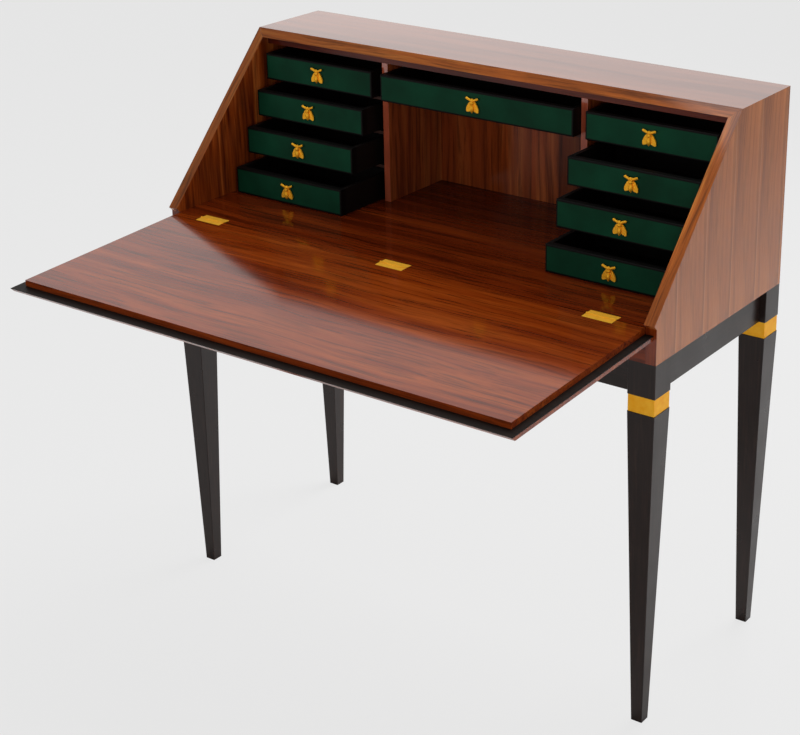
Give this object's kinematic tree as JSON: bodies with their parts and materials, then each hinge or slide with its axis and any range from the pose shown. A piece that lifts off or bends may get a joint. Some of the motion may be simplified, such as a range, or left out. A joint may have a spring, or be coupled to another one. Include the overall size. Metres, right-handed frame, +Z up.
{
  "type": "slant-front writing desk",
  "caption": "Slant-front writing desk with a drop flap on lopers, small drawers with bee pulls round an open niche, and square tapering legs with brass collars.",
  "frame": {"origin": "on the floor, under the middle of the desk's box with its flap open", "axes": "+X to the sitter's right, +Y towards the back, +Z up; the sitter is on the -Y side"},
  "size_m": [1.055, 0.8502, 1.052],
  "materials": {
    "rosewood": "gloss French polish",
    "ebonised_wood": "satin black stain and polish",
    "green_lacquer": "satin lacquer",
    "black_lacquer": "dull black lacquer",
    "brass": "polished and lacquered",
    "carcase_oak": "bare planed wood",
    "steel_screws": "plain"
  },
  "bodies": {
    "desk": {"leg_front_left": "ebonised_wood", "leg_front_right": "ebonised_wood", "leg_back_left": "ebonised_wood", "leg_back_right": "ebonised_wood", "collars": "brass", "long_aprons": "ebonised_wood", "side_aprons": "ebonised_wood", "fixing_blocks": "carcase_oak", "stand_screws": "steel_screws", "side_left": "rosewood", "side_right": "rosewood", "case_top": "rosewood", "case_bottom": "carcase_oak", "back_panel": "rosewood", "front_rail": "rosewood", "writing_floor": "rosewood", "loper_guides": "carcase_oak", "nest_header": "rosewood", "partition_left": "rosewood", "partition_right": "rosewood", "drawer_dividers": "black_lacquer", "centre_shelf": "black_lacquer", "drawer_guides": "black_lacquer", "hinge_case_leaves": "brass", "hinge_pins": "brass", "hinge_screws_case": "brass"},
    "flap": {"flap_board": "rosewood", "flap_border": "ebonised_wood", "flap_panel": "rosewood", "hinge_flap_leaves": "brass", "hinge_screws_flap": "brass"},
    "loper_left": {"loper_left": "carcase_oak"},
    "loper_right": {"loper_right": "carcase_oak"},
    "drawer_left_1": {"drawer_left_1_front": "green_lacquer", "drawer_left_1_box": "black_lacquer", "drawer_left_1_bee": "brass"},
    "drawer_left_2": {"drawer_left_2_front": "green_lacquer", "drawer_left_2_box": "black_lacquer", "drawer_left_2_bee": "brass"},
    "drawer_left_3": {"drawer_left_3_front": "green_lacquer", "drawer_left_3_box": "black_lacquer", "drawer_left_3_bee": "brass"},
    "drawer_left_4": {"drawer_left_4_front": "green_lacquer", "drawer_left_4_box": "black_lacquer", "drawer_left_4_bee": "brass"},
    "drawer_right_1": {"drawer_right_1_front": "green_lacquer", "drawer_right_1_box": "black_lacquer", "drawer_right_1_bee": "brass"},
    "drawer_right_2": {"drawer_right_2_front": "green_lacquer", "drawer_right_2_box": "black_lacquer", "drawer_right_2_bee": "brass"},
    "drawer_right_3": {"drawer_right_3_front": "green_lacquer", "drawer_right_3_box": "black_lacquer", "drawer_right_3_bee": "brass"},
    "drawer_right_4": {"drawer_right_4_front": "green_lacquer", "drawer_right_4_box": "black_lacquer", "drawer_right_4_bee": "brass"},
    "drawer_centre": {"drawer_centre_front": "green_lacquer", "drawer_centre_box": "black_lacquer", "drawer_centre_bee": "brass"}
  },
  "joints": [
    {"name": "flap_hinge", "type": "hinge", "parent": "desk", "child": "flap", "pos_m": [0, -0.02193, 0.75], "axis": [1, 0, 0], "range_deg": [-135.6, 0]},
    {"name": "loper_left_slide", "type": "slide", "parent": "desk", "child": "loper_left", "axis": [0, -1, 0], "range_m": [-0.2, 0]},
    {"name": "loper_right_slide", "type": "slide", "parent": "desk", "child": "loper_right", "axis": [0, -1, 0], "range_m": [-0.2, 0]},
    {"name": "drawer_left_1_slide", "type": "slide", "parent": "desk", "child": "drawer_left_1", "axis": [0, -1, 0], "range_m": [-0.02, 0.135]},
    {"name": "drawer_left_2_slide", "type": "slide", "parent": "desk", "child": "drawer_left_2", "axis": [0, -1, 0], "range_m": [-0.05, 0.105]},
    {"name": "drawer_left_3_slide", "type": "slide", "parent": "desk", "child": "drawer_left_3", "axis": [0, -1, 0], "range_m": [-0.084, 0.071]},
    {"name": "drawer_left_4_slide", "type": "slide", "parent": "desk", "child": "drawer_left_4", "axis": [0, -1, 0], "range_m": [-0.12, 0.035]},
    {"name": "drawer_right_1_slide", "type": "slide", "parent": "desk", "child": "drawer_right_1", "axis": [0, -1, 0], "range_m": [-0.025, 0.13]},
    {"name": "drawer_right_2_slide", "type": "slide", "parent": "desk", "child": "drawer_right_2", "axis": [0, -1, 0], "range_m": [-0.0825, 0.0725]},
    {"name": "drawer_right_3_slide", "type": "slide", "parent": "desk", "child": "drawer_right_3", "axis": [0, -1, 0], "range_m": [-0.117, 0.038]},
    {"name": "drawer_right_4_slide", "type": "slide", "parent": "desk", "child": "drawer_right_4", "axis": [0, -1, 0], "range_m": [-0.15, 0.005]},
    {"name": "drawer_centre_slide", "type": "slide", "parent": "desk", "child": "drawer_centre", "axis": [0, -1, 0], "range_m": [-0.025, 0.13]}
  ]
}
